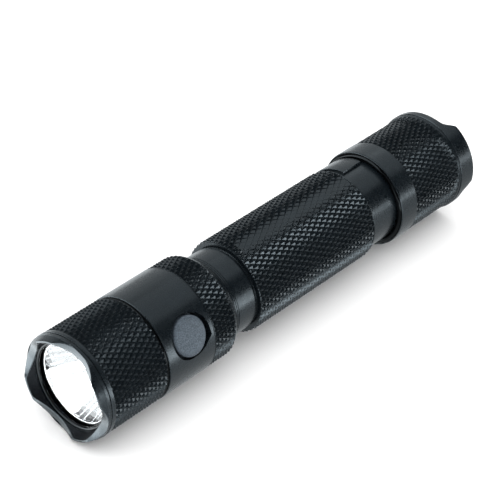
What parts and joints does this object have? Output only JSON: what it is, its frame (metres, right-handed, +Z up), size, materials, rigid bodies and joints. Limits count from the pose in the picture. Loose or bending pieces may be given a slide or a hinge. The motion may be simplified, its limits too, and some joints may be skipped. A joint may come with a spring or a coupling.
{
  "type": "tactical flashlight",
  "caption": "Slim turned aluminium flashlight with a scalloped bezel, knurled grip, round side switch and a tail cap with a rubber boot switch.",
  "frame": {"origin": "middle of the length and width, on the surface that the light lies on", "axes": "+X along the light's axis towards the beam, +Z up, side switch turned towards +Y and up"},
  "size_m": [0.1264, 0.026, 0.0254],
  "materials": {
    "anodised_smooth": "satin black hard anodised aluminium",
    "anodised_knurl": "satin black hard anodised aluminium, diamond knurled",
    "black_rubber": "smooth black rubber",
    "boot_rubber": "matt black rubber",
    "button_rubber": "matt speckled dark grey rubber",
    "lens_glass": "clear coated glass",
    "reflector_mirror": "smooth polished reflector",
    "white_plastic": "natural white plastic",
    "led_dome": "yellow phosphor under clear silicone",
    "board_copper": "copper-core board",
    "steel": "plain steel",
    "red_wire": "red insulation",
    "black_wire": "black insulation",
    "bare_aluminium": "bare turned aluminium",
    "black_plastic": "moulded black plastic",
    "green_board": "green solder mask",
    "driver_parts": "moulded packages and ferrite",
    "brass": "turned brass",
    "gold_spring": "gold plated spring wire",
    "cell_wrap": "shrink wrap over a steel can"
  },
  "bodies": {
    "light": {"bezel_ring": "anodised_smooth", "lens_o_ring": "black_rubber", "front_lens": "lens_glass", "reflector": "reflector_mirror", "led_centring_ring": "white_plastic", "led_emitter": "led_dome", "led_board": "board_copper", "led_board_screws": "steel", "led_wire_positive": "red_wire", "led_wire_negative": "black_wire", "head_shell": "anodised_knurl", "head_seam_o_ring": "black_rubber", "heat_sink_pill": "bare_aluminium", "switch_housing": "anodised_smooth", "side_tact_switch": "black_plastic", "side_switch_board": "green_board", "side_switch_holder": "black_plastic", "driver_retaining_ring": "brass", "driver_board": "green_board", "driver_parts": "driver_parts", "front_contact_spring": "gold_spring", "neck_o_ring": "black_rubber", "battery_tube": "anodised_knurl", "front_cell": "cell_wrap", "rear_cell": "cell_wrap", "tail_o_ring": "black_rubber", "cap_seat_ring": "black_rubber"},
    "side_button": {"side_button_cap": "button_rubber", "side_button_puck": "black_plastic", "side_tact_plunger": "black_plastic"},
    "cap_carrier": {"tail_contact_spring": "gold_spring"},
    "tail_cap": {"tail_cap": "anodised_knurl", "tail_retaining_ring": "brass", "tail_switch_board": "green_board", "tail_switch_spacer": "white_plastic", "tail_switch_body": "black_plastic", "tail_switch_spring": "steel", "boot_washer": "steel", "tail_boot": "boot_rubber"},
    "tail_plunger": {"tail_switch_plunger": "white_plastic"}
  },
  "joints": [
    {"name": "side_button", "type": "slide", "parent": "light", "child": "side_button", "axis": [0, -0.9135, -0.4067], "range_m": [0, 0.0005], "stiffness_N_per_m": 3000, "springref_m": -0.0003},
    {"name": "tail_cap_advance", "type": "slide", "parent": "light", "child": "cap_carrier", "axis": [-1, 0, 0], "range_m": [0, 0.00625]},
    {"name": "tail_cap_turn", "type": "hinge", "parent": "cap_carrier", "child": "tail_cap", "pos_m": [-0.04055, 0, 0.0127], "axis": [-1, 0, 0], "range_deg": [0, 1800]},
    {"name": "tail_button", "type": "slide", "parent": "tail_cap", "child": "tail_plunger", "axis": [1, 0, 0], "range_m": [0, 0.0018], "stiffness_N_per_m": 1200, "springref_m": -0.001, "deforming": ["tail_boot", "tail_switch_spring"]}
  ],
  "couplings": [
    {"joint": "tail_cap_turn", "follows": "tail_cap_advance", "rad_per_m": 5026.5}
  ]
}
